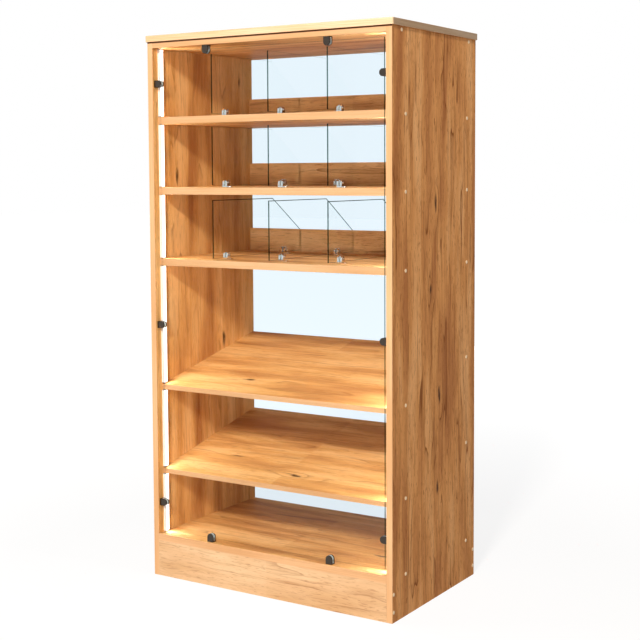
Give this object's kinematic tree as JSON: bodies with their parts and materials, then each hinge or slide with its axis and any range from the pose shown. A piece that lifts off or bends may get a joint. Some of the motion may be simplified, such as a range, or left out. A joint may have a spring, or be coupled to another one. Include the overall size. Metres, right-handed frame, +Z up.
{
  "type": "shop display cabinet",
  "caption": "Tall free-standing bakery display cabinet: fixed glass front, open rear, level shelves with glass dividers above slanted shelves, and a light run behind each front edge.",
  "frame": {"origin": "on the floor, under the middle of the cabinet", "axes": "+Z up, -Y is the glass front, +X to the right as seen from the front"},
  "size_m": [1.014, 0.624, 1.96],
  "materials": {
    "oak_board": "satin",
    "edge_band": "satin",
    "clear_glass": "polished",
    "nickel": "polished",
    "steel": "satin",
    "clear_rubber": "matte",
    "aluminium": "satin",
    "tape_board": "matte",
    "opal_cover": "matte",
    "grey_plastic": "matte",
    "lead_jacket": "matte",
    "driver_case": "satin",
    "black_plastic": "satin",
    "brass_pin": "polished",
    "cap_plastic": "satin",
    "dowel_wood": "matte"
  },
  "bodies": {
    "cabinet": {"assembly_screws": "steel", "back_rail_1": "oak_board", "back_rail_2": "oak_board", "back_rail_3": "oak_board", "bottom_panel": "oak_board", "bottom_panel_band": "edge_band", "carcass_top": "oak_board", "carcass_top_band": "edge_band", "divider_1_1": "clear_glass", "divider_1_2": "clear_glass", "divider_1_3": "clear_glass", "divider_2_1": "clear_glass", "divider_2_2": "clear_glass", "divider_2_3": "clear_glass", "divider_3_1": "clear_glass", "divider_3_2": "clear_glass", "divider_3_3": "clear_glass", "divider_clip_clamp_screws": "nickel", "divider_clip_liners": "clear_rubber", "divider_clip_screws": "steel", "divider_clips": "nickel", "driver_screws": "steel", "front_glass": "clear_glass", "glass_clip_grub_screws": "steel", "glass_clip_pads": "clear_rubber", "glass_clip_screws": "steel", "glass_clips": "nickel", "inlet_pins": "brass_pin", "inlet_screws": "steel", "lead_clips": "grey_plastic", "level_shelf_1": "oak_board", "level_shelf_2": "oak_board", "level_shelf_3": "oak_board", "level_shelf_band_1": "edge_band", "level_shelf_band_2": "edge_band", "level_shelf_band_3": "edge_band", "light_covers": "opal_cover", "light_driver": "driver_case", "light_end_caps": "grey_plastic", "light_leads": "lead_jacket", "light_profiles": "aluminium", "light_tapes": "tape_board", "mains_lead": "lead_jacket", "plinth_front": "oak_board", "plinth_rear": "oak_board", "power_inlet": "black_plastic", "rail_dowels": "dowel_wood", "screw_caps": "cap_plastic", "side_band_left": "edge_band", "side_band_right": "edge_band", "side_panel_left": "oak_board", "side_panel_right": "oak_board", "slab_screws": "steel", "slanted_shelf_1": "oak_board", "slanted_shelf_2": "oak_board", "slanted_shelf_band_1": "edge_band", "slanted_shelf_band_2": "edge_band", "top_slab": "oak_board", "top_slab_band": "edge_band"},
    "rocker": {"rocker": "black_plastic"}
  },
  "joints": [
    {"name": "rocker_hinge", "type": "hinge", "parent": "cabinet", "child": "rocker", "pos_m": [0.014, 0.304, 0.10525], "axis": [1, 0, 0], "range_deg": [0, 16]}
  ]
}
